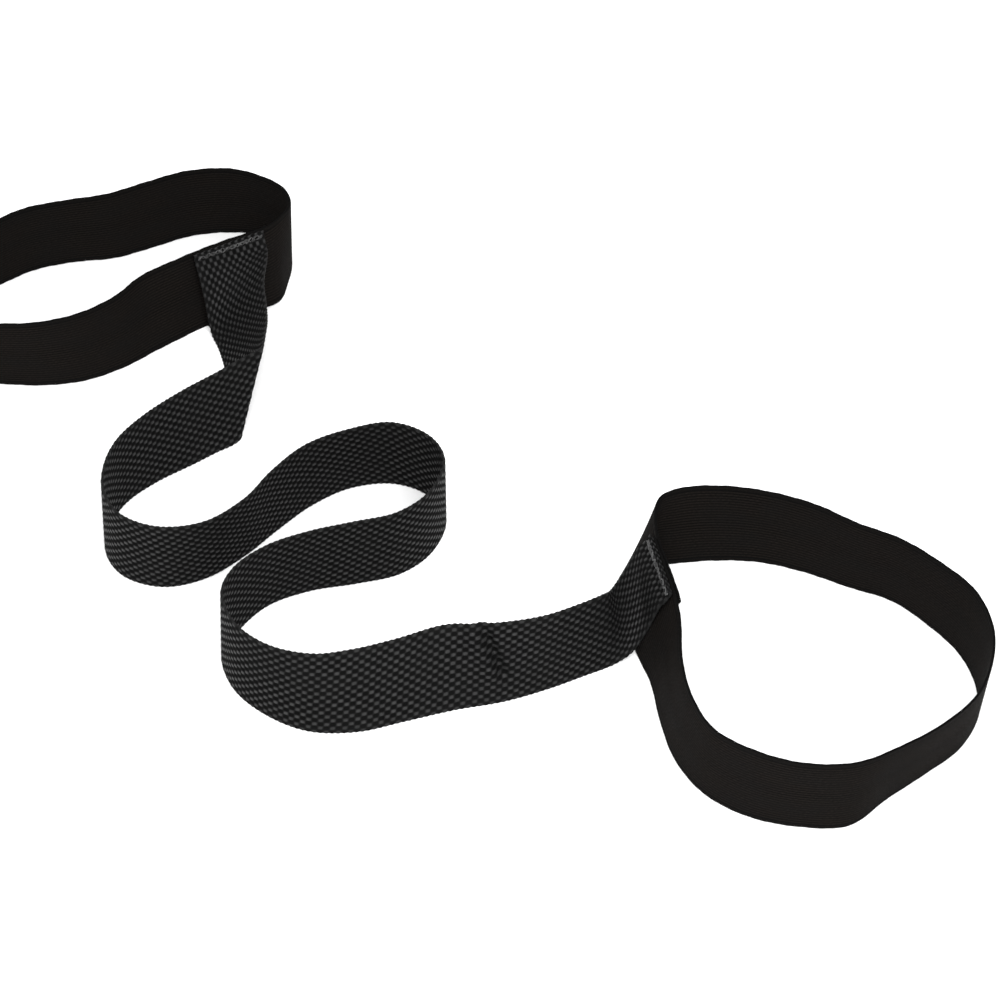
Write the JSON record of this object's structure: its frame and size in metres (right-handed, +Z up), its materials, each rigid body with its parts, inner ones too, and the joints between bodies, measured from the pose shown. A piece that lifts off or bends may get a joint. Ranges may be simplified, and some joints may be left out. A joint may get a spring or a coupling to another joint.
{
  "type": "stretching strap",
  "caption": "Flat woven webbing strap standing on edge in a serpentine, with a wide elastic loop sewn across each end for a foot, a hand or a rolled mat.",
  "frame": {"origin": "centre of the footprint, on the surface that the strap's lower edge stands on", "axes": "+Z up across the width of the strap, +X along the longest extent from the left loop to the right loop, +Y away from the front of the serpentine"},
  "size_m": [0.4947, 0.4014, 0.0383],
  "materials": {
    "webbing": "woven polypropylene, low sheen",
    "elastic": "ribbed woven elastic, matt",
    "thread": "polyester sewing thread"
  },
  "bodies": {
    "middle_run": {"webbing_middle_run": "webbing"},
    "rear_run": {"webbing_rear_run": "webbing"},
    "left_run": {"webbing_left_run": "webbing"},
    "left_loop": {"webbing_left_end": "webbing", "left_elastic_outer_arm": "elastic", "left_elastic_inner_arm": "elastic", "left_tack_needle_thread": "thread", "left_tack_bobbin_thread": "thread", "left_lap_thread": "thread"},
    "left_loop_far": {"left_elastic_far_part": "elastic"},
    "front_run": {"webbing_front_run": "webbing"},
    "right_loop": {"webbing_right_end": "webbing", "right_elastic_outer_arm": "elastic", "right_elastic_inner_arm": "elastic", "right_tack_needle_thread": "thread", "right_tack_bobbin_thread": "thread", "right_lap_thread": "thread"},
    "right_loop_far": {"right_elastic_far_part": "elastic"}
  },
  "joints": [
    {"name": "middle_bend", "type": "hinge", "parent": "middle_run", "child": "rear_run", "pos_m": [0.0166, -0.0174, 0], "axis": [0, 0, 1], "range_deg": [-60, 0]},
    {"name": "left_bend", "type": "hinge", "parent": "rear_run", "child": "left_run", "pos_m": [-0.1375, -0.0236, 0], "axis": [0, 0, 1], "range_deg": [0, 60]},
    {"name": "left_loop_swing", "type": "hinge", "parent": "left_run", "child": "left_loop", "pos_m": [-0.1181, 0.0117, 0], "axis": [0, 0, 1], "range_deg": [-20, 20]},
    {"name": "left_loop_stretch", "type": "slide", "parent": "left_loop", "child": "left_loop_far", "axis": [-0.4699, 0.8827, 0], "range_m": [0, 0.06], "stiffness_N_per_m": 250},
    {"name": "right_bend", "type": "hinge", "parent": "middle_run", "child": "front_run", "pos_m": [-0.0798, -0.1014, 0], "axis": [0, 0, 1], "range_deg": [-60, 0]},
    {"name": "right_loop_swing", "type": "hinge", "parent": "front_run", "child": "right_loop", "pos_m": [0.0665, -0.1146, 0], "axis": [0, 0, 1], "range_deg": [-20, 20]},
    {"name": "right_loop_stretch", "type": "slide", "parent": "right_loop", "child": "right_loop_far", "axis": [1, 0, 0], "range_m": [0, 0.06], "stiffness_N_per_m": 250}
  ]
}
